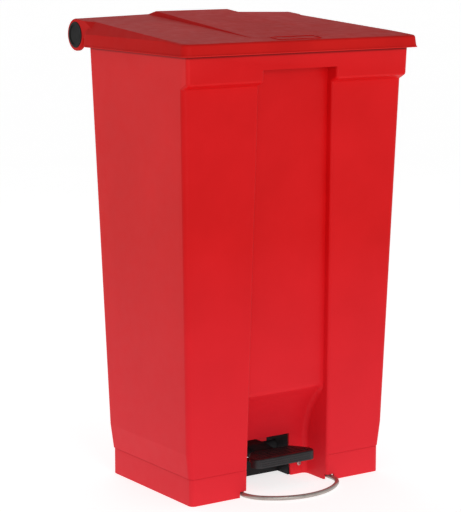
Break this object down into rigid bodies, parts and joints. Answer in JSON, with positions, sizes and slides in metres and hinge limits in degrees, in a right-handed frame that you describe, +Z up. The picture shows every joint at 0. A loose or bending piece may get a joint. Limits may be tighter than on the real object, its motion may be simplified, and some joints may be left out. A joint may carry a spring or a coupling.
{
  "type": "step-on waste bin",
  "caption": "Tall tapered red laboratory waste bin with a foot pedal that lifts its hinged lid through a lever and an upright rod, and a floor wire in front against tipping.",
  "frame": {"origin": "on the floor, at the centre of the rectangle that the container's base rim covers", "axes": "+Z up, -Y towards the front where the pedal is, +X to the right when seen from the front"},
  "size_m": [0.491, 0.4268, 0.8264],
  "materials": {
    "red_plastic": "moulded, fine satin",
    "steel_rod": "drawn, zinc plated",
    "nylon": "moulded",
    "zinc_plate": "zinc plated",
    "zinc_screw": "zinc plated",
    "spring_steel": "oil black",
    "black_plastic": "moulded",
    "dark_steel": "black coated",
    "tread_rubber": "ribbed",
    "plated_wire": "zinc plated wire"
  },
  "bodies": {
    "container": {"bin_body": "red_plastic", "hinge_rod": "steel_rod", "rod_guide_lower": "black_plastic", "rod_guide_upper": "black_plastic", "guide_screws": "zinc_screw", "pedal_axle": "steel_rod", "axle_push_nuts": "spring_steel", "pedal_cradle": "black_plastic", "cradle_screws": "zinc_screw", "stabiliser_wire": "plated_wire", "wire_clip_left": "zinc_plate", "wire_clip_right": "zinc_plate", "clip_screws": "zinc_screw"},
    "lid": {"lid": "red_plastic", "hinge_plug_left": "black_plastic", "hinge_plug_right": "black_plastic", "hinge_bushes": "nylon", "lid_crank": "zinc_plate", "crank_screws": "zinc_screw"},
    "lift_rod": {"lift_rod": "steel_rod", "rod_push_nuts": "spring_steel"},
    "pedal": {"pedal_lever": "dark_steel", "pedal_tread": "tread_rubber", "tread_screws": "zinc_screw", "lever_bush_left": "black_plastic", "lever_bush_right": "black_plastic"}
  },
  "joints": [
    {"name": "lid_hinge", "type": "hinge", "parent": "container", "child": "lid", "pos_m": [0, 0.1949, 0.7882], "axis": [-1, 0, 0], "range_deg": [0, 75]},
    {"name": "rod_slide", "type": "slide", "parent": "container", "child": "lift_rod", "axis": [0, 0, 1], "range_m": [0, 0.0451]},
    {"name": "pedal_pivot", "type": "hinge", "parent": "container", "child": "pedal", "pos_m": [0, -0.0185, 0.048], "axis": [1, 0, 0], "range_deg": [0, 18.77]}
  ],
  "couplings": [
    {"joint": "rod_slide", "follows": "lid_hinge", "m_per_rad": 0.034377},
    {"joint": "pedal_pivot", "follows": "lid_hinge", "ratio": 0.2496}
  ]
}
